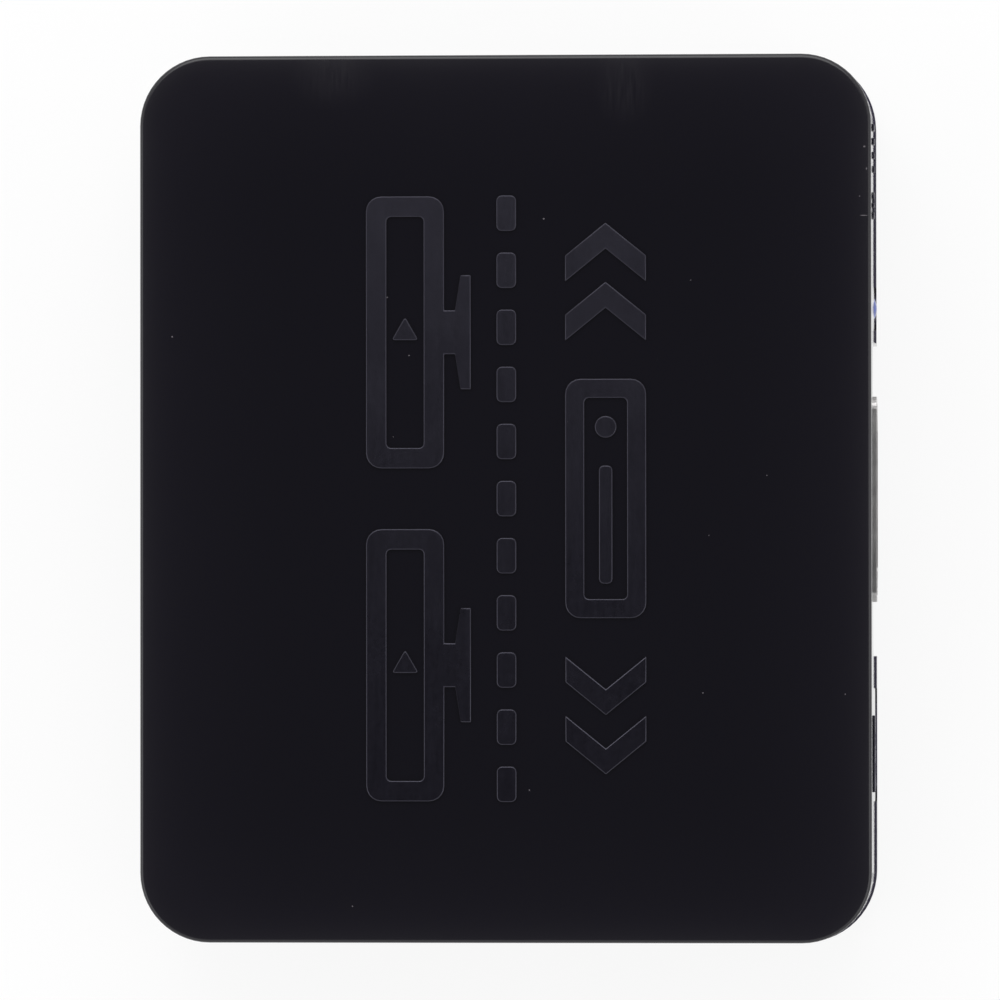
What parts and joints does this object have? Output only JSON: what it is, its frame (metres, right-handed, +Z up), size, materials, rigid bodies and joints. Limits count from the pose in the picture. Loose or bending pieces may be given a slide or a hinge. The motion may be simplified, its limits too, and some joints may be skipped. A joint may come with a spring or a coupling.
{
  "type": "video splitter",
  "caption": "Flat black plastic box with rounded corners that copies a video input to its outputs, with a power inlet and a status lamp.",
  "frame": {"origin": "middle of the underside", "axes": "+X along the socket walls, +Y from the input wall to the output wall, +Z up through the top face"},
  "size_m": [0.065, 0.0538, 0.017],
  "materials": {
    "cover_gloss": "high gloss",
    "cover_satin": "satin",
    "screw_steel": "zinc plated",
    "board_laminate": "solder mask",
    "socket_plating": "nickel plated sheet",
    "socket_insulator": "moulded",
    "contact_gold": "gold flash",
    "lamp_lens": "clear tinted",
    "lead_tin": "tinned",
    "chip_moulding": "matt",
    "crystal_can": "satin",
    "capacitor_can": "satin",
    "capacitor_base": "moulded",
    "chip_ceramic": "matt",
    "resistor_glaze": "glazed",
    "ferrite": "matt"
  },
  "bodies": {
    "root": {"top_cover": "cover_gloss", "bottom_cover": "cover_satin", "case_screws": "screw_steel", "main_board": "board_laminate", "video_input_shell": "socket_plating", "video_input_tongue": "socket_insulator", "video_input_contacts": "contact_gold", "video_output_1_shell": "socket_plating", "video_output_1_tongue": "socket_insulator", "video_output_1_contacts": "contact_gold", "video_output_2_shell": "socket_plating", "video_output_2_tongue": "socket_insulator", "video_output_2_contacts": "contact_gold", "power_socket_shell": "socket_plating", "power_socket_tongue": "socket_insulator", "power_socket_contacts": "contact_gold", "status_lamp": "lamp_lens", "status_lamp_leads": "lead_tin", "splitter_chip": "chip_moulding", "splitter_chip_leads": "lead_tin", "memory_chip": "chip_moulding", "memory_chip_leads": "lead_tin", "regulator": "chip_moulding", "regulator_leads": "lead_tin", "crystal": "crystal_can", "capacitor_cans": "capacitor_can", "capacitor_bases": "capacitor_base", "surge_arrays": "chip_moulding", "chip_capacitors": "chip_ceramic", "chip_resistors": "resistor_glaze", "ferrite_bead": "ferrite"}
  },
  "joints": []
}
